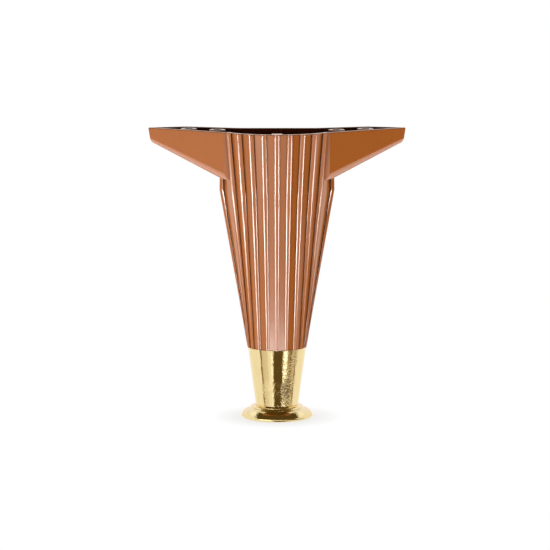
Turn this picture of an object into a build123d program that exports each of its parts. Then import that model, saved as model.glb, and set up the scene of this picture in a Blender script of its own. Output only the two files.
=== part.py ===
"""Moulded sofa leg: a fluted hollow column with two swept-back wings, standing in a plated foot cup."""

from build123d import *
from math import atan2, cos, pi, sin, sqrt, tan
import os

# Frame: the origin lies on the column's axis at floor level, Z points up and the fluted front faces -Y.
# All sizes are in millimetres and angles in degrees. "Beyond" is how far a cut runs past what it cuts.

# Heights above the floor
leg_height = 150.0
shoulder_height = 119.4
collar_height = 37.1

# Fluted column: each cross-section is a ring of slightly crowned ribs with a flat flute between each two.
# The rib spread sets how much the front ribs close up outwards. The turn power sets how squarely the
# ribs of the front face forwards, as they do where a two-part mould opens from front to back.
ribs_per_quarter = 5
collar_radius = 15.5
shoulder_front_depth = 20.4
shoulder_front_radius = 30.4
shoulder_front_half_width = 22.45
rim_front_depth = 22.2
rim_front_radius = 33.6
rim_front_half_width = 25.05
side_reach = 29.0
shoulder_back_depth = 16.8
rim_back_depth = 17.3
rib_spread = 9.6
rib_turn_power = 4.5
rib_width_collar = 1.3
rib_width_shoulder = 2.4
rib_width_rim = 2.45
rib_crown_radius_collar = 1.6
rib_crown_radius_shoulder = 3.1
rib_crown_radius_rim = 3.2
flute_depth_collar = 0.6
flute_depth_shoulder = 1.1
flute_depth_rim = 1.2
rib_edge_radius_collar = 0.1
rib_edge_radius_shoulder = 0.18
rib_edge_radius_rim = 0.18
rim_break = 0.35
column_wall = 2.2

# Wings: swept back from the column, with a sloping underside and a raked end
wing_wall = 2.2
wing_root_x = 27.2
wing_tip_x = 67.3
wing_tip_y = 17.6
wing_back_corner_x = 47.6
wing_back_corner_y = 25.5
wing_back_flat_half_width = 20.0
wing_tip_height = 7.4
wing_root_height = 24.4
wing_end_rake = 9.0
wing_tip_bottom_radius = 4.0
wing_back_corner_radius = 5.0
wing_end_overrun = 3.0
wing_round_at_tip = 2.2
wing_round_at_root = 6.2

# Screw bosses in the wings, two in each
inner_boss_x = 31.0
inner_boss_y = 8.1
outer_boss_x = 46.1
outer_boss_y = 13.9
boss_diameter = 8.6
boss_edge_break = 0.3
screw_hole_diameter = 4.6
screw_pocket_diameter = 9.0
screw_pocket_wall = 1.8
screw_seat_below_rim = 8.0
screw_seat_thickness = 2.4

# Locating block on the inside of the front wall
block_width = 5.4
block_depth = 5.0
block_length = 38.0

# Lower end of the column: a floor, a spigot and a screw post
column_floor = 3.0
spigot_wall = 2.0
spigot_length = 12.0
spigot_clearance = 0.2
post_diameter = 9.0
post_hole_depth = 18.0

# Foot cup: a tapered sleeve on a shoulder ring and a domed flange
cup_top_radius = 15.25
cup_bottom_radius = 11.05
cup_wall = 1.6
cup_floor = 2.0
shoulder_ring_radius = 13.9
shoulder_ring_top = 5.9
shoulder_ring_round = 0.9
flange_notch_radius = 14.2
flange_top = 4.8
flange_radius = 19.0
flange_widest_height = 1.4
flange_sole_radius = 18.0
flange_bulge = 0.75
flange_lip_bulge = 0.35

# Foot screw, driven up through the cup's floor into the post
screw_head_diameter = 8.0
screw_head_height = 2.2
screw_head_edge = 0.45
screw_head_gap = 0.4
screw_shank_diameter = 3.9
screw_length = 16.0
screw_clearance = 0.05
screw_slot_width = 1.2
screw_slot_depth = 1.1
screw_head_pocket_diameter = 10.5

# Glide pad, set flush into the sole
pad_radius = 16.0
pad_thickness = 1.4
pad_clearance = 0.15
pad_edge_chamfer = 0.3

quarter_turn = 90.0
half_turn = 180.0
rib_step = quarter_turn / ribs_per_quarter
cup_slope = (cup_top_radius - cup_bottom_radius) / (collar_height - shoulder_ring_top)
cup_floor_underside = pad_thickness + screw_head_height + screw_head_gap
cup_floor_top = cup_floor_underside + cup_floor
wing_root_bottom = leg_height - wing_root_height
wing_tip_bottom = leg_height - wing_tip_height
beyond = 10.0


def in_degrees(function, angle):
    """Sine, cosine or tangent of an angle given in degrees."""
    return function(angle * pi / half_turn)


def round_crests():
    """Rib centres of the collar's section, from the front rib round to the back rib."""
    angles = [rib_step * rib for rib in range(2 * ribs_per_quarter + 1)]
    return [(collar_radius * in_degrees(sin, a), -collar_radius * in_degrees(cos, a)) for a in angles]


def front_arc_y(front_depth, front_radius, x):
    """Place along Y of an upper section's front arc at a place along X."""
    return front_radius - front_depth - sqrt(front_radius**2 - x**2)


def wide_crests(front_depth, front_radius, front_half_width, back_depth):
    """Rib centres of an upper section: an arc in front with ribs closing up outwards, an ellipse behind."""
    reach = front_half_width / in_degrees(sin, rib_spread * (ribs_per_quarter - 1))
    front = [reach * in_degrees(sin, rib_spread * rib) for rib in range(ribs_per_quarter)]
    crests = [(x, front_arc_y(front_depth, front_radius, x)) for x in front]
    for rib in range(ribs_per_quarter, 2 * ribs_per_quarter + 1):
        angle = rib_step * rib
        crests.append((side_reach * in_degrees(sin, angle), -back_depth * in_degrees(cos, angle)))
    return crests


def all_round(crests):
    """The half ring of rib centres with its mirror image, as one closed ring of points."""
    return [Vector(x, y) for x, y in crests] + [Vector(-x, y) for x, y in reversed(crests[1:-1])]


def ring_frames(crests):
    """Each rib's centre with the outward direction square to the ring there."""
    ring = all_round(crests)
    frames = []
    for index, centre in enumerate(ring):
        along = (ring[(index + 1) % len(ring)] - ring[index - 1]).normalized()
        frames.append((centre, Vector(along.Y, -along.X)))
    return frames


def rib_facing(outward):
    """Direction that a rib faces: nearly forwards in front, nearly backwards behind, sideways at the sides."""
    azimuth = atan2(outward.X, -outward.Y) * half_turn / pi
    off_middle = min(abs(azimuth), half_turn - abs(azimuth))
    turn = quarter_turn * (off_middle / quarter_turn) ** rib_turn_power
    side = 1 if azimuth > 0 else -1
    front = 1 if abs(azimuth) < quarter_turn else -1
    return Vector(side * in_degrees(sin, turn), -front * in_degrees(cos, turn))


def fluted_section(height, crests, rib_width, crown_radius, flute_depth, edge_radius, inset=0.0):
    """One cross-section of the column's outside: crowned ribs with straight sides and flat flutes."""
    half_width = rib_width / 2
    crown_fall = crown_radius - sqrt(crown_radius**2 - half_width**2)
    ribs = []
    for centre, outward in ring_frames(crests):
        facing = rib_facing(outward)
        along = Vector(-facing.Y, facing.X)
        crest = centre - outward * inset
        edges = [crest + along * (half_width * end) - facing * crown_fall for end in (-1, 1)]
        feet = [crest + along * (half_width * end) - facing * flute_depth for end in (-1, 1)]
        ribs.append((feet[0], edges[0], crest, edges[1], feet[1]))
    with BuildSketch(Plane.XY.offset(height)) as section:
        with BuildLine():
            for index, (first_foot, first_edge, crest, last_edge, last_foot) in enumerate(ribs):
                next_foot = ribs[(index + 1) % len(ribs)][0]
                Line(first_foot, first_edge)
                ThreePointArc(first_edge, crest, last_edge)
                Polyline(last_edge, last_foot, next_foot)
        make_face()
        fillet(section.vertices(), radius=edge_radius)
    return section.sketch


def smooth_section(height, crests, inset):
    """One cross-section of the column's inside: a smooth closed curve inset from the ribs."""
    points = [centre - outward * inset for centre, outward in ring_frames(crests)]
    with BuildSketch(Plane.XY.offset(height)) as section:
        with BuildLine():
            Spline(*points, periodic=True)
        make_face()
    return section.sketch


collar_crests = round_crests()
shoulder_crests = wide_crests(
    shoulder_front_depth, shoulder_front_radius, shoulder_front_half_width, shoulder_back_depth
)
rim_crests = wide_crests(rim_front_depth, rim_front_radius, rim_front_half_width, rim_back_depth)
wing_root_y = front_arc_y(rim_front_depth, rim_front_radius, wing_root_x)

# Column outside, from the collar over the shoulder to the rim with its broken edge
collar_form = (rib_width_collar, rib_crown_radius_collar, flute_depth_collar, rib_edge_radius_collar)
shoulder_form = (
    rib_width_shoulder, rib_crown_radius_shoulder, flute_depth_shoulder, rib_edge_radius_shoulder
)
rim_form = (rib_width_rim, rib_crown_radius_rim, flute_depth_rim, rib_edge_radius_rim)
column_sections = [
    fluted_section(collar_height, collar_crests, *collar_form),
    fluted_section(shoulder_height, shoulder_crests, *shoulder_form),
    fluted_section(leg_height - rim_break, rim_crests, *rim_form),
    fluted_section(leg_height, rim_crests, *rim_form, inset=rim_break),
]
with BuildPart() as column:
    loft([section.faces()[0] for section in column_sections], ruled=True)

# Column inside, one wall deeper than the flutes, and open at the rim
floor_top = collar_height + column_floor
hollow_sections = [
    smooth_section(floor_top, collar_crests, flute_depth_collar + column_wall),
    smooth_section(shoulder_height, shoulder_crests, flute_depth_shoulder + column_wall),
    smooth_section(leg_height, rim_crests, flute_depth_rim + column_wall),
]
with BuildPart() as column_hollow:
    loft([section.faces()[0] for section in hollow_sections], ruled=True)


def wing_plan(inset):
    """Plan outline of both wings, which runs past the raked ends, moved inwards by the inset."""
    sweep = (wing_tip_y - wing_root_y) / (wing_tip_x - wing_root_x)
    right = [
        (wing_tip_x + wing_end_overrun, wing_tip_y + wing_end_overrun * sweep),
        (wing_back_corner_x, wing_back_corner_y),
        (wing_back_flat_half_width, rim_back_depth),
    ]
    left = [(-x, y) for x, y in reversed(right)]
    outline = [(wing_root_x, wing_root_y)] + right + left + [(-wing_root_x, wing_root_y)]
    with BuildSketch() as plan:
        with BuildLine():
            Polyline(*outline, close=True)
        make_face()
        if inset:
            offset(amount=-inset, kind=Kind.INTERSECTION)
        back_corners = plan.vertices().sort_by(Axis.Y)[-2:]
        fillet(back_corners, radius=wing_back_corner_radius - inset)
    return plan.sketch


def wing_front(inset):
    """Front outline of both wings: raked ends and a sloping underside, moved inwards by the inset."""
    rake = in_degrees(tan, wing_end_rake)
    right = [
        (wing_tip_x + beyond * rake, leg_height + beyond),
        (wing_tip_x - wing_tip_height * rake, leg_height - wing_tip_height),
        (side_reach, leg_height - wing_root_height),
    ]
    left = [(-x, z) for x, z in reversed(right)]
    with BuildSketch(Plane.XZ) as front:
        with BuildLine():
            Polyline(*(right + left), close=True)
        make_face()
        if inset:
            offset(amount=-inset, kind=Kind.INTERSECTION)
        tip_bottoms = front.vertices().group_by(Axis.Y)[1]
        fillet(tip_bottoms, radius=wing_tip_bottom_radius - inset)
    return front.sketch


def wing_bar(inset, top):
    """Both wings as one solid bar across the column, moved inwards by the inset and cut off at the top."""
    plan = wing_plan(inset)
    front = wing_front(inset)
    with BuildPart() as solid:
        extrude(plan, amount=top)
        extrude(front, amount=leg_height, both=True, mode=Mode.INTERSECT)
    return solid.part


def growing_round(edge_start, edge_end, first_normal, second_normal, start_radius, end_radius):
    """The sliver outside a round that grows along a straight edge between two flat faces."""
    direction = (edge_end - edge_start).normalized()
    outward = (first_normal + second_normal).normalized()
    half_bend = first_normal.get_angle(second_normal) / 2
    on_first = (second_normal - first_normal * first_normal.dot(second_normal)).normalized() * -1
    on_second = (first_normal - second_normal * first_normal.dot(second_normal)).normalized() * -1
    slivers = []
    for corner, radius in ((edge_start, start_radius), (edge_end, end_radius)):
        reach = radius * in_degrees(tan, half_bend)
        crown = corner - outward * (radius / in_degrees(cos, half_bend) - radius)
        ends = [corner + on_first * reach, corner + on_second * reach]
        outside = [point + outward * radius for point in ends]
        with BuildSketch(Plane(origin=corner, x_dir=outward, z_dir=direction)) as sliver:
            plane = sliver.workplanes[0]
            first, middle, second = [plane.to_local_coords(point) for point in (ends[0], crown, ends[1])]
            with BuildLine():
                ThreePointArc(first, middle, second)
                Polyline(second, *[plane.to_local_coords(point) for point in reversed(outside)], first)
            make_face()
        slivers.append(sliver.sketch.faces()[0])
    with BuildPart() as rounding:
        loft(slivers, ruled=True)
    return rounding.part


# Wings, with the round along the lower front edge growing from the tip to the column
front_run = Vector(wing_tip_x - wing_root_x, wing_tip_y - wing_root_y).normalized()
front_normal = Vector(front_run.Y, -front_run.X)
tip_bottom_x = wing_tip_x - wing_tip_height * in_degrees(tan, wing_end_rake)
underside_run = Vector(tip_bottom_x - side_reach, 0, wing_tip_bottom - wing_root_bottom).normalized()
underside_normal = Vector(underside_run.Z, 0, -underside_run.X)


def lower_front_edge(x):
    """Point of the right wing's lower front edge at a place along X."""
    y = wing_root_y + (x - wing_root_x) * front_run.Y / front_run.X
    z = wing_root_bottom + (x - side_reach) * underside_run.Z / underside_run.X
    return Vector(x, y, z)


right_round = growing_round(
    lower_front_edge(wing_root_x - beyond),
    lower_front_edge(wing_tip_x + beyond),
    front_normal,
    underside_normal,
    wing_round_at_root,
    wing_round_at_tip,
)
left_round = mirror(right_round, about=Plane.YZ)
wings_outside = wing_bar(0, leg_height)
wings_inside = wing_bar(wing_wall, leg_height + beyond)
with BuildPart() as wings:
    add(wings_outside)
    add([right_round, left_round], mode=Mode.SUBTRACT)
    chamfer(wings.edges().group_by(Axis.Z)[-1], length=rim_break)

boss_places = [
    (side * x, y) for side in (-1, 1) for x, y in ((inner_boss_x, inner_boss_y), (outer_boss_x, outer_boss_y))
]
pocket_roof = leg_height - screw_seat_below_rim - screw_seat_thickness

# Screw bosses: a tube up to the rim on a wider pocket for the screw's head, inside the wings' outline
with BuildPart() as bosses:
    with BuildSketch(Plane.XY.offset(wing_root_bottom)):
        with Locations(*boss_places):
            Circle(boss_diameter / 2)
    extrude(amount=wing_root_height)
    chamfer(bosses.edges().group_by(Axis.Z)[-1], length=boss_edge_break)
    with BuildSketch(Plane.XY.offset(wing_root_bottom)):
        with Locations(*boss_places):
            Circle(screw_pocket_diameter / 2 + screw_pocket_wall)
    extrude(amount=wing_root_height - screw_seat_below_rim)
    add(wings.part, mode=Mode.INTERSECT)

# Locating block on the inside of the front wall, level with the rim
inner_face = -rim_front_depth + flute_depth_rim + column_wall
block_front = inner_face - column_wall / 2
block_back = inner_face + block_depth
with BuildPart() as block:
    with BuildSketch(Plane.XY.offset(leg_height)):
        with Locations((0, (block_front + block_back) / 2)):
            Rectangle(block_width, block_back - block_front)
    extrude(amount=-block_length)
    add(column.part, mode=Mode.INTERSECT)


def cup_radius(height):
    """Outer radius of the cup's taper at a height."""
    return cup_bottom_radius + cup_slope * (height - shoulder_ring_top)


# Spigot that fills the cup's mouth, and the post that stands on the cup's floor
spigot_bottom = collar_height - spigot_length
spigot_top_radius = cup_top_radius - cup_wall - spigot_clearance
spigot_bottom_radius = cup_radius(spigot_bottom) - cup_wall - spigot_clearance
with BuildPart() as lower_end:
    with BuildSketch(Plane.XZ):
        Polygon(
            (spigot_top_radius - spigot_wall, collar_height),
            (spigot_top_radius, collar_height),
            (spigot_bottom_radius, spigot_bottom),
            (spigot_bottom_radius - spigot_wall, spigot_bottom),
            align=None,
        )
    revolve(axis=Axis.Z)
    with BuildSketch(Plane.XY.offset(cup_floor_top)):
        Circle(post_diameter / 2)
    extrude(amount=floor_top - cup_floor_top)

# The moulded body in one piece
with BuildPart() as leg_body:
    add(column.part)
    add(wings.part)
    add(column_hollow.part, mode=Mode.SUBTRACT)
    add(wings_inside, mode=Mode.SUBTRACT)
    add(bosses.part)
    add(block.part)
    add(lower_end.part)
    with Locations(*[(x, y, leg_height) for x, y in boss_places]):
        Hole(screw_hole_diameter / 2, depth=wing_root_height + beyond)
    with BuildSketch(Plane.XY.offset(pocket_roof)):
        with Locations(*boss_places):
            Circle(screw_pocket_diameter / 2)
    extrude(amount=wing_root_bottom - pocket_roof, mode=Mode.SUBTRACT)
    with BuildSketch(Plane.XY.offset(cup_floor_top)):
        Circle(screw_shank_diameter / 2 + screw_clearance)
    extrude(amount=post_hole_depth, mode=Mode.SUBTRACT)
leg_body.part.label = "leg_body"

# Foot cup, turned about the axis
with BuildPart() as foot_cup:
    with BuildSketch(Plane.XZ):
        with BuildLine():
            Polyline(
                (cup_top_radius - cup_wall, collar_height),
                (cup_top_radius, collar_height),
                (cup_bottom_radius, shoulder_ring_top),
                (shoulder_ring_radius - shoulder_ring_round, shoulder_ring_top),
            )
            RadiusArc(
                (shoulder_ring_radius - shoulder_ring_round, shoulder_ring_top),
                (shoulder_ring_radius, shoulder_ring_top - shoulder_ring_round),
                shoulder_ring_round,
            )
            Line(
                (shoulder_ring_radius, shoulder_ring_top - shoulder_ring_round),
                (flange_notch_radius, flange_top),
            )
            SagittaArc((flange_notch_radius, flange_top), (flange_radius, flange_widest_height), flange_bulge)
            SagittaArc((flange_radius, flange_widest_height), (flange_sole_radius, 0), flange_lip_bulge)
            Polyline(
                (flange_sole_radius, 0),
                (pad_radius + pad_clearance, 0),
                (pad_radius + pad_clearance, pad_thickness),
                (screw_head_pocket_diameter / 2, pad_thickness),
                (screw_head_pocket_diameter / 2, cup_floor_underside),
                (screw_shank_diameter / 2 + screw_clearance, cup_floor_underside),
                (screw_shank_diameter / 2 + screw_clearance, cup_floor_top),
                (cup_radius(cup_floor_top) - cup_wall, cup_floor_top),
                (cup_top_radius - cup_wall, collar_height),
            )
        make_face()
    revolve(axis=Axis.Z)
foot_cup.part.label = "foot_cup"

# Foot screw with a domed cross-slotted head
head_underside = cup_floor_underside
head_bottom = head_underside - screw_head_height
dome_height = screw_head_height - screw_head_edge
dome_radius = ((screw_head_diameter / 2) ** 2 + dome_height**2) / (2 * dome_height)
with BuildPart() as foot_screw:
    with BuildSketch(Plane.XZ):
        with BuildLine():
            RadiusArc((0, head_bottom), (screw_head_diameter / 2, head_bottom + dome_height), -dome_radius)
            Polyline(
                (screw_head_diameter / 2, head_bottom + dome_height),
                (screw_head_diameter / 2, head_underside),
                (screw_shank_diameter / 2, head_underside),
                (screw_shank_diameter / 2, head_underside + screw_length - screw_shank_diameter),
                (0, head_underside + screw_length),
                (0, head_bottom),
            )
        make_face()
    revolve(axis=Axis.Z)
    with BuildSketch(Plane.XY.offset(head_bottom)):
        with PolarLocations(0, 2, angular_range=180):
            Rectangle(screw_head_diameter / 2, screw_slot_width)
    extrude(amount=screw_slot_depth, mode=Mode.SUBTRACT)
foot_screw.part.label = "foot_screw"

# Glide pad, flush with the sole
with BuildPart() as glide_pad:
    with BuildSketch():
        Circle(pad_radius)
    extrude(amount=pad_thickness)
    chamfer(glide_pad.edges().group_by(Axis.Z)[0], length=pad_edge_chamfer)
glide_pad.part.label = "glide_pad"

os.makedirs("parts", exist_ok=True)
for piece in (leg_body, foot_cup, foot_screw, glide_pad):
    export_step(piece.part, f"parts/{piece.part.label}.step")
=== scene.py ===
"""Looks of a moulded sofa leg: a fluted copper-brown body with hollow wings in a gold-plated foot cup.

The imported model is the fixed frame. Sizes are in millimetres until they go into a mesh, which is in metres.
X runs from wing to wing, the fluted front faces -Y and Z points up from the floor.
"""

import logging
from dataclasses import dataclass
from enum import Enum
from math import cos, pi, radians, sin
from typing import Any, Callable

import bmesh
import bpy
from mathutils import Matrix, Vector

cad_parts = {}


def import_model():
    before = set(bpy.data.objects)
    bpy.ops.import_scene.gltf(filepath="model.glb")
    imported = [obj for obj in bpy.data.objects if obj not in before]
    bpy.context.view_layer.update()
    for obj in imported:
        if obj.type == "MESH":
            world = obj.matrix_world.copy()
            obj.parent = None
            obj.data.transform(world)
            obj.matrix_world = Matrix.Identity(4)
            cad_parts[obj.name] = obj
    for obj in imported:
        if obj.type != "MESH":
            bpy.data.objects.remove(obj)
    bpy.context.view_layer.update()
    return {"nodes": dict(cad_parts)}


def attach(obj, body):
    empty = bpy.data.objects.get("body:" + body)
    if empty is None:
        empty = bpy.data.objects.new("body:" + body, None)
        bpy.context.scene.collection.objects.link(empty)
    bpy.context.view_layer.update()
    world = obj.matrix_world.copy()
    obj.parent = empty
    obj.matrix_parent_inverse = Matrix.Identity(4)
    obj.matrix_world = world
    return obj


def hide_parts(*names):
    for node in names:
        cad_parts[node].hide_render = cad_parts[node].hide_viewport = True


MM = 0.001
# The colour sockets of a Mix node share their names with its other sockets, so they go by number.
MIX_A, MIX_B, MIX_RESULT = 6, 7, 2

log = logging.getLogger("sofa_leg")


class Slot(Enum):
    """The record's material slots."""

    BODY = "body_plastic"
    GOLD = "gold_plating"
    STEEL = "screw_steel"
    RUBBER = "pad_rubber"


def linear(hex_colour: str) -> tuple[float, float, float, float]:
    """Turn an sRGB hex colour into linear RGBA.

    Args:
        hex_colour: six hex digits, such as "c07a45".

    Returns:
        The colour as linear red, green, blue and an alpha of 1.
    """
    channels = [int(hex_colour[i:i + 2], 16) / 255 for i in (0, 2, 4)]
    red, green, blue = [c / 12.92 if c <= 0.04045 else ((c + 0.055) / 1.055) ** 2.4 for c in channels]
    return (red, green, blue, 1.0)


def grey(level: float) -> tuple[float, float, float, float]:
    """Give the linear grey of a level, 1 for white, as RGBA with an alpha of 1."""
    return (level, level, level, 1.0)


def add_node(tree: bpy.types.NodeTree, kind: str, settings: dict[str, Any] | None = None,
             inputs: dict[str | int, Any] | None = None) -> bpy.types.Node:
    """Add a node with its settings, its values and its links.

    Args:
        tree: the tree that gets the node.
        kind: the node's type name.
        settings: the node's own properties.
        inputs: for each input, a value, or a socket to link from.

    Returns:
        The new node.
    """
    node = tree.nodes.new(kind)
    for name, value in (settings or {}).items():
        setattr(node, name, value)
    for key, value in (inputs or {}).items():
        socket = node.inputs[key]
        if isinstance(value, bpy.types.NodeSocket):
            tree.links.new(value, socket)
        else:
            socket.default_value = value
    return node


def new_material(name: str) -> tuple[bpy.types.Material, bpy.types.NodeTree, bpy.types.Node]:
    """Make a material with an empty tree and its output.

    Args:
        name: the real material's name.

    Returns:
        The material, its tree and its output node.
    """
    material = bpy.data.materials.new(name)
    material.use_nodes = True
    tree = material.node_tree
    tree.nodes.clear()
    return material, tree, add_node(tree, "ShaderNodeOutputMaterial")


@dataclass(frozen=True)
class MouldedAbs:
    """Glossy ABS coloured through with a copper brown: a hard, slightly waxy gloss with faint flow marks.

    The core side of such a moulding isn't polished, so deep places turn duller; their dark brown is painted
    shade, laid on by how enclosed a place is, inside the hollow and down beside the ribs.
    """

    name: str = "moulded_abs_copper_brown"
    slot: Slot = Slot.BODY
    colour: str = "ab622b"
    shade: str = "a35b26"
    roughness: float = 0.1
    ior: float = 1.53
    # Painted shade: the dark brown that enclosed places take.
    recess_shade_colour: str = "281005"
    core_roughness: float = 0.4
    skin_gloss: float = 0.5
    # Painted shade in the gloss: enclosed places reflect less.
    recess_shade_gloss: float = 0.05
    reach_mm: float = 90.0
    open_share: float = 0.57
    shut_share: float = 0.42
    openness_samples: int = 12
    flow_size_mm: float = 18.0
    orange_peel_mm: float = 0.9
    peel_height_mm: float = 0.05
    peel_strength: float = 0.02

    def make(self) -> bpy.types.Material:
        """Build the material and return it."""
        material, tree, output = new_material(self.name)
        place = add_node(tree, "ShaderNodeTexCoord")
        flow = add_node(tree, "ShaderNodeTexNoise", inputs={
            "Vector": place.outputs["Object"], "Scale": 1 / (self.flow_size_mm * MM), "Detail": 2.0})
        tint = add_node(tree, "ShaderNodeMix", {"data_type": "RGBA"}, {
            "Factor": flow.outputs["Fac"], MIX_A: linear(self.colour), MIX_B: linear(self.shade)})
        peel = add_node(tree, "ShaderNodeTexNoise", inputs={
            "Vector": place.outputs["Object"], "Scale": 1 / (self.orange_peel_mm * MM), "Detail": 1.0})
        bump = add_node(tree, "ShaderNodeBump", inputs={
            "Height": peel.outputs["Fac"], "Strength": self.peel_strength,
            "Distance": self.peel_height_mm * MM})
        openness = add_node(tree, "ShaderNodeAmbientOcclusion", {
            "samples": self.openness_samples, "only_local": True}, {"Distance": self.reach_mm * MM})
        outside = add_node(tree, "ShaderNodeMapRange", inputs={
            "Value": openness.outputs["AO"], "From Min": self.shut_share, "From Max": self.open_share})
        # Painted shade: the more enclosed a place is, inside the hollow or beside the ribs, the nearer its
        # colour goes to dark brown.
        colour = add_node(tree, "ShaderNodeMix", {"data_type": "RGBA"}, {
            "Factor": outside.outputs[0], MIX_A: linear(self.recess_shade_colour), MIX_B: tint.outputs[MIX_RESULT]})
        gloss = add_node(tree, "ShaderNodeMapRange", inputs={
            "Value": outside.outputs[0], "To Min": self.core_roughness, "To Max": self.roughness})
        # Painted shade in the gloss as well: enclosed places get a weaker reflection.
        shine = add_node(tree, "ShaderNodeMapRange", inputs={
            "Value": outside.outputs[0], "To Min": self.recess_shade_gloss, "To Max": self.skin_gloss})
        shader = add_node(tree, "ShaderNodeBsdfPrincipled", inputs={
            "Base Color": colour.outputs[MIX_RESULT], "Roughness": gloss.outputs[0], "IOR": self.ior,
            "Specular IOR Level": shine.outputs[0], "Normal": bump.outputs["Normal"]})
        tree.links.new(shader.outputs["BSDF"], output.inputs["Surface"])
        return material


@dataclass(frozen=True)
class GoldPlating:
    """Gold electroplate on moulded ABS under a clear lacquer: a mirror with a fine grain from the bath.

    The real grain is too fine to show, so it is drawn as coarse as it needs to show.
    """

    name: str = "gold_electroplate"
    slot: Slot = Slot.GOLD
    colour: str = "f4e3ac"
    shade: str = "ead293"
    roughness: float = 0.07
    lacquer_roughness: float = 0.05
    grain_mm: float = 1.0
    grain_height_mm: float = 0.1
    calm_strength: float = 0.2
    patch_mm: float = 9.0
    patch_from: float = 0.45
    patch_to: float = 0.6
    speck_spot_mm: tuple[float, float, float] = (6.0, -13.0, 15.5)
    speck_reach_mm: float = 4.6
    spot_grain_height_mm: float = 0.5
    speck_squeeze: float = 0.5
    # Painted reflection: the dark brown of the gold's dark reflection, laid on in specks.
    speck_reflection_colour: str = "6e4d1a"
    speck_from: float = 0.4
    speck_to: float = 0.62
    speck_share: float = 0.9
    streak_mm: float = 1.1
    streak_length_mm: float = 14.0
    streak_strength: float = 0.3

    def make(self) -> bpy.types.Material:
        """Build the material and return it."""
        material, tree, output = new_material(self.name)
        place = add_node(tree, "ShaderNodeTexCoord")
        grain = add_node(tree, "ShaderNodeTexNoise", inputs={
            "Vector": place.outputs["Object"], "Scale": 1 / (self.grain_mm * MM), "Detail": 3.0})
        drawn = add_node(tree, "ShaderNodeVectorMath", {"operation": "MULTIPLY"}, {
            0: place.outputs["Object"], 1: (1.0, 1.0, self.streak_mm / self.streak_length_mm)})
        streak = add_node(tree, "ShaderNodeTexNoise", inputs={
            "Vector": drawn.outputs[0], "Scale": 1 / (self.streak_mm * MM), "Detail": 2.0})
        patch = add_node(tree, "ShaderNodeTexNoise", inputs={
            "Vector": place.outputs["Object"], "Scale": 1 / (self.patch_mm * MM), "Detail": 1.0})
        coarse = add_node(tree, "ShaderNodeMapRange", inputs={
            "Value": patch.outputs["Fac"], "From Min": self.patch_from, "From Max": self.patch_to,
            "To Min": self.calm_strength, "To Max": 1.0})
        grainy_spot = self.grainy_spot_share(tree, place.outputs["Object"])
        rough = add_node(tree, "ShaderNodeMath", {"operation": "MAXIMUM"}, {
            0: coarse.outputs[0], 1: grainy_spot})
        height = add_node(tree, "ShaderNodeMapRange", inputs={
            "Value": grainy_spot, "To Min": self.grain_height_mm * MM, "To Max": self.spot_grain_height_mm * MM})
        fine = add_node(tree, "ShaderNodeBump", inputs={
            "Height": grain.outputs["Fac"], "Strength": rough.outputs[0], "Distance": height.outputs[0]})
        bump = add_node(tree, "ShaderNodeBump", inputs={
            "Height": streak.outputs["Fac"], "Strength": self.streak_strength,
            "Distance": self.grain_height_mm * MM, "Normal": fine.outputs["Normal"]})
        tint = add_node(tree, "ShaderNodeMix", {"data_type": "RGBA"}, {
            "Factor": streak.outputs["Fac"], MIX_A: linear(self.colour), MIX_B: linear(self.shade)})
        # Painted reflection: inside the spot, specks of the grain take the dark brown of the gold's dark
        # reflection.
        speck = add_node(tree, "ShaderNodeMapRange", inputs={
            "Value": grain.outputs["Fac"], "From Min": self.speck_from, "From Max": self.speck_to,
            "To Min": self.speck_share, "To Max": 0.0})
        share = add_node(tree, "ShaderNodeMath", {"operation": "MULTIPLY"}, {
            0: speck.outputs[0], 1: grainy_spot})
        colour = add_node(tree, "ShaderNodeMix", {"data_type": "RGBA"}, {
            "Factor": share.outputs[0], MIX_A: tint.outputs[MIX_RESULT], MIX_B: linear(self.speck_reflection_colour)})
        shader = add_node(tree, "ShaderNodeBsdfPrincipled", inputs={
            "Base Color": colour.outputs[MIX_RESULT], "Metallic": 1.0, "Roughness": self.roughness,
            "Coat Weight": 1.0, "Coat Roughness": self.lacquer_roughness, "Normal": bump.outputs["Normal"]})
        tree.links.new(shader.outputs["BSDF"], output.inputs["Surface"])
        return material

    def grainy_spot_share(self, tree: bpy.types.NodeTree, place: bpy.types.NodeSocket) -> bpy.types.NodeSocket:
        """Tell how strongly the spot above the flange shows: there the grain coarsens and the mirror breaks
        into dark specks of painted reflection.

        Args:
            tree: the material's tree.
            place: the object's coordinates.

        Returns:
            The socket of the share, 1 in the spot and 0 away from it.
        """
        from_spot = add_node(tree, "ShaderNodeVectorMath", {"operation": "SUBTRACT"}, {
            0: place, 1: tuple(value * MM for value in self.speck_spot_mm)})
        squeezed = add_node(tree, "ShaderNodeVectorMath", {"operation": "MULTIPLY"}, {
            0: from_spot.outputs[0], 1: (1.0, 1.0, self.speck_squeeze)})
        away = add_node(tree, "ShaderNodeVectorMath", {"operation": "LENGTH"}, {0: squeezed.outputs[0]})
        share = add_node(tree, "ShaderNodeMapRange", inputs={
            "Value": away.outputs["Value"], "From Min": self.speck_reach_mm / 2 * MM,
            "From Max": self.speck_reach_mm * MM, "To Min": 1.0, "To Max": 0.0})
        return share.outputs[0]


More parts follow.
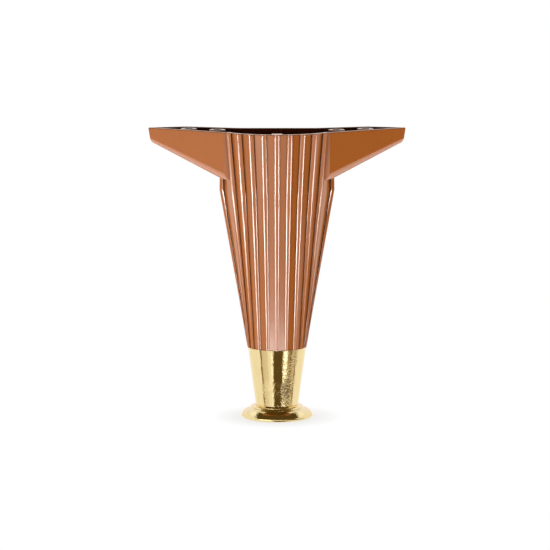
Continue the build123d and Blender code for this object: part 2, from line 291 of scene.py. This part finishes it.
@dataclass(frozen=True)
class ZincSteel:
    """Steel screw with bright zinc plating: a cool, slightly clouded metal."""

    name: str = "zinc_plated_steel"
    slot: Slot = Slot.STEEL
    colour: str = "c9ccd0"
    clouded: str = "b4b7bb"
    roughness: float = 0.28
    cloud_mm: float = 1.5

    def make(self) -> bpy.types.Material:
        """Build the material and return it."""
        material, tree, output = new_material(self.name)
        place = add_node(tree, "ShaderNodeTexCoord")
        cloud = add_node(tree, "ShaderNodeTexNoise", inputs={
            "Vector": place.outputs["Object"], "Scale": 1 / (self.cloud_mm * MM), "Detail": 3.0})
        tint = add_node(tree, "ShaderNodeMix", {"data_type": "RGBA"}, {
            "Factor": cloud.outputs["Fac"], MIX_A: linear(self.colour), MIX_B: linear(self.clouded)})
        shader = add_node(tree, "ShaderNodeBsdfPrincipled", inputs={
            "Base Color": tint.outputs[MIX_RESULT], "Metallic": 1.0, "Roughness": self.roughness})
        tree.links.new(shader.outputs["BSDF"], output.inputs["Surface"])
        return material


@dataclass(frozen=True)
class MouldedRubber:
    """Black moulded rubber: nearly matt, with a finely pitted skin.

    The real pits are too fine to show, so they are drawn as coarse as they need to show.
    """

    name: str = "moulded_black_rubber"
    slot: Slot = Slot.RUBBER
    colour: str = "26262a"
    pit_colour: str = "1b1b1e"
    roughness: float = 0.72
    pit_mm: float = 0.5
    pit_depth_mm: float = 0.1
    pit_strength: float = 0.3

    def make(self) -> bpy.types.Material:
        """Build the material and return it."""
        material, tree, output = new_material(self.name)
        place = add_node(tree, "ShaderNodeTexCoord")
        pits = add_node(tree, "ShaderNodeTexNoise", inputs={
            "Vector": place.outputs["Object"], "Scale": 1 / (self.pit_mm * MM), "Detail": 2.0})
        bump = add_node(tree, "ShaderNodeBump", inputs={
            "Height": pits.outputs["Fac"], "Strength": self.pit_strength,
            "Distance": self.pit_depth_mm * MM})
        tint = add_node(tree, "ShaderNodeMix", {"data_type": "RGBA"}, {
            "Factor": pits.outputs["Fac"], MIX_A: linear(self.colour), MIX_B: linear(self.pit_colour)})
        shader = add_node(tree, "ShaderNodeBsdfPrincipled", inputs={
            "Base Color": tint.outputs[MIX_RESULT], "Roughness": self.roughness,
            "Normal": bump.outputs["Normal"]})
        tree.links.new(shader.outputs["BSDF"], output.inputs["Surface"])
        return material


def start_piece(name: str) -> bpy.types.Object:
    """Name the primitive that was just added and open it in edit mode with nothing selected.

    Args:
        name: the piece's name.

    Returns:
        The piece, in edit mode.
    """
    piece = bpy.context.object
    piece.name = name
    bpy.ops.object.transform_apply(location=True, rotation=True, scale=True)
    bpy.ops.object.mode_set(mode="EDIT")
    bpy.ops.mesh.select_mode(type="FACE")
    bpy.ops.mesh.select_all(action="DESELECT")
    return piece


def pick_faces(piece: bpy.types.Object, wanted: Callable[[bmesh.types.BMFace], bool]) -> None:
    """Select the faces of a piece in edit mode that pass a test, and no others.

    Args:
        piece: the piece in edit mode.
        wanted: the test on a face.
    """
    mesh = bmesh.from_edit_mesh(piece.data)
    for face in mesh.faces:
        face.select_set(wanted(face))
    bmesh.update_edit_mesh(piece.data)


def pick_edges(piece: bpy.types.Object, wanted: Callable[[bmesh.types.BMEdge], bool]) -> None:
    """Select the edges of a piece in edit mode that pass a test, and no others.

    Args:
        piece: the piece in edit mode.
        wanted: the test on an edge.
    """
    bpy.ops.mesh.select_mode(type="EDGE")
    mesh = bmesh.from_edit_mesh(piece.data)
    for edge in mesh.edges:
        edge.select_set(wanted(edge))
    bmesh.update_edit_mesh(piece.data)


def close_piece(piece: bpy.types.Object, smooth_deg: float) -> None:
    """Leave edit mode with faces outwards and smooth the gentle edges.

    Args:
        piece: the piece in edit mode.
        smooth_deg: edges below this angle are shaded smooth.
    """
    bpy.ops.mesh.select_all(action="SELECT")
    bpy.ops.mesh.normals_make_consistent(inside=False)
    bpy.ops.object.mode_set(mode="OBJECT")
    bpy.ops.object.select_all(action="DESELECT")
    piece.select_set(True)
    bpy.ops.object.shade_smooth_by_angle(angle=radians(smooth_deg))
    piece.select_set(False)


@dataclass(frozen=True)
class GlidePad:
    """The rubber pad in the sole: a disc with a broken lower edge and round tread grooves below."""

    name: str = "pad_with_tread"
    radius_mm: float = 16.0
    thickness_mm: float = 1.4
    edge_break_mm: float = 0.3
    land_mm: float = 1.5
    groove_mm: float = 0.9
    groove_depth_mm: float = 0.4
    groove_slope_mm: float = 0.2
    rings: int = 4
    sides: int = 96
    smooth_deg: float = 20.0

    def build(self) -> bpy.types.Object:
        """Model the pad and return it."""
        bpy.ops.object.select_all(action="DESELECT")
        bpy.ops.mesh.primitive_cylinder_add(
            vertices=self.sides, radius=self.radius_mm * MM, depth=self.thickness_mm * MM,
            location=(0, 0, self.thickness_mm / 2 * MM))
        piece = start_piece(self.name)
        pick_edges(piece, lambda edge: all(vert.co.z < self.edge_break_mm / 2 * MM for vert in edge.verts))
        bpy.ops.mesh.bevel(offset=self.edge_break_mm * MM, segments=1)
        bpy.ops.mesh.select_mode(type="FACE")
        pick_faces(piece, lambda face: face.normal.z < -0.9 and len(face.verts) == self.sides)
        for _ in range(self.rings):
            self.step(self.land_mm, 0.0)
            self.step(self.groove_slope_mm, self.groove_depth_mm)
            self.step(self.groove_mm, 0.0)
            self.step(self.groove_slope_mm, -self.groove_depth_mm)
        close_piece(piece, self.smooth_deg)
        return piece

    def step(self, inwards_mm: float, upwards_mm: float) -> None:
        """Inset the selected face by a width and raise it by a height."""
        bpy.ops.mesh.inset(thickness=inwards_mm * MM, depth=0.0)
        bpy.ops.transform.translate(value=(0, 0, upwards_mm * MM))


@dataclass(frozen=True)
class SoftBox:
    """A softbox beside the leg: narrow for the lines along the ribs, wide and low for the wings' pale edges.

    Its azimuth and elevation are in degrees as seen from the point that it aims at. Its power is in watts.
    """

    name: str
    azimuth: float
    elevation: float
    width_mm: float
    height_mm: float
    power: float
    distance_mm: float = 2500.0


@dataclass(frozen=True)
class Ring:
    """One ring of the room that the gloss reflects, up to an elevation in degrees.

    Its stops give the level at azimuths in degrees: 0 is where the camera stands and 90 is at the right.
    """

    name: str
    top_deg: float
    stops: tuple[tuple[float, float], ...]
    tint: str = "ffffff"
    edge_deg: float = 1.0


@dataclass(frozen=True)
class Studio:
    """The pale floor, the rings of light that the gloss reflects, the softboxes and the camera."""

    target_mm: tuple[float, float, float] = (-1.04, 0.0, 74.7)
    distance_mm: float = 1662.0
    pitch_deg: float = 8.23
    lens_mm: float = 208.8
    rings: tuple[Ring, ...] = (
        Ring("table_glow", -25.0, (
            (-180, 0.8), (-155, 0.8), (-140, 1.0), (-58, 1.0), (-40, 1.0), (-18, 1.0), (-16, 0.1), (44, 0.1),
            (58, 1.0), (140, 1.0), (155, 0.8), (180, 0.8))),
        Ring("table", -19.0, (
            (-180, 1.0), (-76, 1.0), (-74, 0.2), (-69, 0.2), (-67, 0.75), (-40, 0.8), (-38, 1.0), (-26, 1.0),
            (-24, 1.6), (-18, 1.6), (-16, 0.13), (25, 0.13), (27, 2.2), (44, 2.2), (46, 0.4), (57, 0.4),
            (59, 0.1), (65, 0.1), (67, 0.6), (82, 0.7), (84, 0.15), (87, 0.15), (89, 1.0), (180, 1.0))),
        Ring("low_paper", -14.5, (
            (-180, 1.0), (-62, 1.0), (-52, 1.4), (-30, 1.4), (-16, 0.9), (10, 0.9), (22, 0.8), (40, 0.4),
            (60, 0.05), (90, 0.4), (100, 1.0), (180, 1.0)), "fffbf0", 2.5),
        Ring("paper", -3.0, (
            (-180, 1.0), (-62, 1.0), (-52, 3.5), (-30, 3.5), (-20, 1.8), (10, 1.75), (22, 1.2), (40, 0.4),
            (60, 0.05), (90, 0.4), (100, 1.0), (180, 1.0)), "fffbf0"),
        Ring("skirting", 4.5, (
            (-180, 1.05), (-125, 1.05), (-110, 0.45), (-55, 0.45), (-45, 0.12), (45, 0.12), (55, 0.45),
            (110, 0.4), (125, 1.05), (180, 1.05))),
        Ring("wall", 15.0, (
            (-180, 1.0), (-125, 1.0), (-110, 0.45), (-55, 0.45), (-45, 0.12), (45, 0.12), (55, 0.45),
            (110, 0.4), (125, 1.0), (180, 1.0)), "ffeee4"),
        Ring("high_wall", 38.0, (
            (-180, 0.95), (-75, 1.0), (-65, 0.1), (65, 0.1), (75, 1.0), (180, 0.95))),
    )
    roof_level: float = 1.1
    roof_gap_level: float = 0.1
    roof_gap_slope: float = 0.75
    roof_edge: float = 0.03
    gap_tint: str = "ffce79"
    gap_level: float = 0.15
    plain_level: float = 1.05
    boxes: tuple[SoftBox, ...] = (
        SoftBox("left_strip", -35.4, -14.0, width_mm=890.0, height_mm=290.0, power=25.0),
        SoftBox("right_strip", 35.4, -14.0, width_mm=890.0, height_mm=290.0, power=20.0),
        SoftBox("left_bounce", -100.0, -32.0, width_mm=2300.0, height_mm=1150.0, power=17.0),
        SoftBox("right_bounce", 100.0, -32.0, width_mm=2300.0, height_mm=1150.0, power=14.0),
    )
    boxes_aim_mm: tuple[float, float, float] = (0.0, 0.0, 90.0)
    floor_size_mm: float = 6000.0
    floor_drop_mm: float = 0.05
    floor_grey: float = 0.85
    shade_from_mm: float = 18.0
    shade_to_mm: float = 34.0
    shade_white: float = 0.8

    def camera(self) -> None:
        """Place the camera at the photograph's angle and make it the scene's."""
        data = bpy.data.cameras.new("camera")
        data.sensor_width = 36.0
        data.lens = self.lens_mm
        camera = bpy.data.objects.new("camera", data)
        bpy.context.collection.objects.link(camera)
        pitch = radians(self.pitch_deg)
        away = Vector((0.0, -cos(pitch), sin(pitch))) * self.distance_mm
        camera.location = (Vector(self.target_mm) + away) * MM
        camera.rotation_euler = (pi / 2 - pitch, 0.0, 0.0)
        bpy.context.scene.camera = camera

    def ring_level(self, tree: bpy.types.NodeTree, turn: bpy.types.NodeSocket,
                   ring: Ring) -> bpy.types.NodeSocket:
        """Make the light of a ring from its azimuth stops, with its dark gaps brown as a room behind is.

        Args:
            tree: the world's tree.
            turn: the azimuth as 0 to 1 for -180 to 180 degrees.
            ring: the ring.

        Returns:
            The light's socket.
        """
        ramp = add_node(tree, "ShaderNodeValToRGB", {"label": ring.name}, {"Fac": turn})
        elements = ramp.color_ramp.elements
        elements.remove(elements[-1])
        for index, (azimuth, level) in enumerate(ring.stops):
            element = elements[0] if index == 0 else elements.new((azimuth + 180) / 360)
            element.color = grey(level)
        elements[0].position = 0.0
        level = ramp.outputs["Color"]
        plain = add_node(tree, "ShaderNodeMapRange", inputs={
            "Value": level, "From Min": self.gap_level, "From Max": self.plain_level})
        tint = add_node(tree, "ShaderNodeMix", {"data_type": "RGBA"}, {
            "Factor": plain.outputs[0], MIX_A: linear(self.gap_tint), MIX_B: linear(ring.tint)})
        return add_node(tree, "ShaderNodeMix", {"data_type": "RGBA", "blend_type": "MULTIPLY"}, {
            "Factor": 1.0, MIX_A: level, MIX_B: tint.outputs[MIX_RESULT]}).outputs[MIX_RESULT]

    def above(self, tree: bpy.types.NodeTree, rise: bpy.types.NodeSocket, ring: Ring,
              lower: bpy.types.NodeSocket, upper: bpy.types.NodeSocket) -> bpy.types.NodeSocket:
        """Change from one light to another at the top of a ring.

        Args:
            tree: the world's tree.
            rise: the direction's rise, -1 to 1.
            ring: the ring that ends there.
            lower: the light below it.
            upper: the light above it.

        Returns:
            The light's socket.
        """
        side = add_node(tree, "ShaderNodeMapRange", inputs={
            "Value": rise, "From Min": sin(radians(ring.top_deg - ring.edge_deg)),
            "From Max": sin(radians(ring.top_deg + ring.edge_deg))})
        return add_node(tree, "ShaderNodeMix", {"data_type": "RGBA"}, {
            "Factor": side.outputs[0], MIX_A: lower, MIX_B: upper}).outputs[MIX_RESULT]

    def roof(self, tree: bpy.types.NodeTree, split: bpy.types.Node) -> bpy.types.NodeSocket:
        """Make the light of the roof, which has a dark gap over the front that narrows towards the back.

        Args:
            tree: the world's tree.
            split: the node that gives the direction's parts.

        Returns:
            The light's socket.
        """
        reach = add_node(tree, "ShaderNodeMath", {"operation": "ABSOLUTE"}, {0: split.outputs["X"]})
        depth = add_node(tree, "ShaderNodeMath", {"operation": "SUBTRACT"}, {0: 1.0, 1: split.outputs["Y"]})
        slope = add_node(tree, "ShaderNodeMath", {"operation": "DIVIDE"}, {
            0: reach.outputs[0], 1: depth.outputs[0]})
        side = add_node(tree, "ShaderNodeMapRange", inputs={
            "Value": slope.outputs[0], "From Min": self.roof_gap_slope - self.roof_edge,
            "From Max": self.roof_gap_slope + self.roof_edge})
        dark = tuple(self.roof_gap_level * channel for channel in linear(self.gap_tint)[:3]) + (1.0,)
        return add_node(tree, "ShaderNodeMix", {"data_type": "RGBA"}, {
            "Factor": side.outputs[0], MIX_A: dark, MIX_B: grey(self.roof_level)}).outputs[MIX_RESULT]

    def lamps(self, lit: list[bpy.types.Object]) -> None:
        """Hang the softboxes, which light only the plastic.

        Args:
            lit: the pieces that they light.
        """
        receivers = bpy.data.collections.new("lit_by_boxes")
        for piece in lit:
            receivers.objects.link(piece)
        for box in self.boxes:
            data = bpy.data.lights.new(box.name, "AREA")
            data.shape = "RECTANGLE"
            data.size = box.width_mm * MM
            data.size_y = box.height_mm * MM
            data.energy = box.power
            lamp = bpy.data.objects.new(box.name, data)
            bpy.context.collection.objects.link(lamp)
            turn, rise = radians(box.azimuth), radians(box.elevation)
            away = Vector((sin(turn) * cos(rise), -cos(turn) * cos(rise), sin(rise))) * box.distance_mm
            lamp.location = (Vector(self.boxes_aim_mm) + away) * MM
            lamp.rotation_euler = away.to_track_quat("Z", "Y").to_euler()
            lamp.light_linking.receiver_collection = receivers

    def world(self) -> None:
        """Put the rings of light and the roof round the leg, and show plain white behind it."""
        world = bpy.data.worlds.new("tent")
        bpy.context.scene.world = world
        world.use_nodes = True
        tree = world.node_tree
        tree.nodes.clear()
        place = add_node(tree, "ShaderNodeTexCoord")
        split = add_node(tree, "ShaderNodeSeparateXYZ", inputs={0: place.outputs["Generated"]})
        front = add_node(tree, "ShaderNodeMath", {"operation": "MULTIPLY"}, {0: split.outputs["Y"], 1: -1.0})
        azimuth = add_node(tree, "ShaderNodeMath", {"operation": "ARCTAN2"}, {
            0: split.outputs["X"], 1: front.outputs[0]})
        degrees = add_node(tree, "ShaderNodeMath", {"operation": "DEGREES"}, {0: azimuth.outputs[0]})
        turn = add_node(tree, "ShaderNodeMapRange", inputs={
            "Value": degrees.outputs[0], "From Min": -180.0, "From Max": 180.0})
        rise = split.outputs["Z"]
        total = self.ring_level(tree, turn.outputs[0], self.rings[0])
        for below, ring in zip(self.rings, self.rings[1:]):
            total = self.above(tree, rise, below, total, self.ring_level(tree, turn.outputs[0], ring))
        total = self.above(tree, rise, self.rings[-1], total, self.roof(tree, split))
        path = add_node(tree, "ShaderNodeLightPath")
        lit = add_node(tree, "ShaderNodeBackground", inputs={"Color": total, "Strength": 1.0})
        white = add_node(tree, "ShaderNodeBackground", inputs={"Color": grey(1.0), "Strength": 1.0})
        plain = add_node(tree, "ShaderNodeMath", {"operation": "MAXIMUM"}, {
            0: path.outputs["Is Camera Ray"], 1: path.outputs["Is Transmission Ray"]})
        seen = add_node(tree, "ShaderNodeMixShader", inputs={
            0: plain.outputs[0], 1: lit.outputs[0], 2: white.outputs[0]})
        output = add_node(tree, "ShaderNodeOutputWorld")
        tree.links.new(seen.outputs[0], output.inputs["Surface"])

    def floor(self) -> None:
        """Lay the pale floor: white to the camera, faintly shaded near the foot, and clear from below."""
        bpy.ops.mesh.primitive_plane_add(
            size=self.floor_size_mm * MM, location=(0, 0, -self.floor_drop_mm * MM))
        floor = bpy.context.object
        floor.name = "studio_floor"
        floor.visible_glossy = False
        floor.visible_diffuse = False
        floor.visible_shadow = False
        material, tree, output = new_material("white_sweep")
        place = add_node(tree, "ShaderNodeTexCoord")
        away = add_node(tree, "ShaderNodeVectorMath", {"operation": "LENGTH"}, {0: place.outputs["Object"]})
        near = add_node(tree, "ShaderNodeMapRange", inputs={
            "Value": away.outputs["Value"], "From Min": self.shade_from_mm * MM,
            "From Max": self.shade_to_mm * MM, "To Min": self.shade_white, "To Max": 1.0})
        path = add_node(tree, "ShaderNodeLightPath")
        paper = add_node(tree, "ShaderNodeBsdfDiffuse", inputs={"Color": grey(self.floor_grey)})
        white = add_node(tree, "ShaderNodeEmission", inputs={"Color": grey(1.0), "Strength": 1.0})
        seen = add_node(tree, "ShaderNodeMath", {"operation": "MULTIPLY"}, {
            0: path.outputs["Is Camera Ray"], 1: near.outputs[0]})
        mixed = add_node(tree, "ShaderNodeMixShader", inputs={
            0: seen.outputs[0], 1: paper.outputs[0], 2: white.outputs[0]})
        geometry = add_node(tree, "ShaderNodeNewGeometry")
        clear = add_node(tree, "ShaderNodeBsdfTransparent")
        open_below = add_node(tree, "ShaderNodeMixShader", inputs={
            0: geometry.outputs["Backfacing"], 1: mixed.outputs[0], 2: clear.outputs[0]})
        tree.links.new(open_below.outputs[0], output.inputs["Surface"])
        floor.data.materials.append(material)


def main() -> None:
    """Dress the leg and set up the studio."""
    logging.basicConfig(level=logging.INFO, format="%(name)s: %(message)s")
    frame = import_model()
    bpy.ops.object.select_all(action="DESELECT")
    studio = Studio()
    studio.camera()
    studio.world()
    studio.floor()
    studio.lamps([frame["nodes"]["leg_body"]])
    pad = GlidePad().build()
    log.info("%s modelled with %d faces", pad.name, len(pad.data.polygons))
    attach(pad, "root")
    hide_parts("glide_pad")
    finishes = {"leg_body": MouldedAbs(), "foot_cup": GoldPlating(), "foot_screw": ZincSteel(),
                "glide_pad": MouldedRubber()}
    for name, finish in finishes.items():
        node = frame["nodes"][name]
        node.data.materials.clear()
        node.data.materials.append(finish.make())
        log.info("%s dressed in %s for the slot %s", name, finish.name, finish.slot.value)
    pad.data.materials.append(frame["nodes"]["glide_pad"].data.materials[0])
    scene = bpy.context.scene
    scene.view_settings.view_transform = "Standard"


if __name__ == "__main__":
    main()
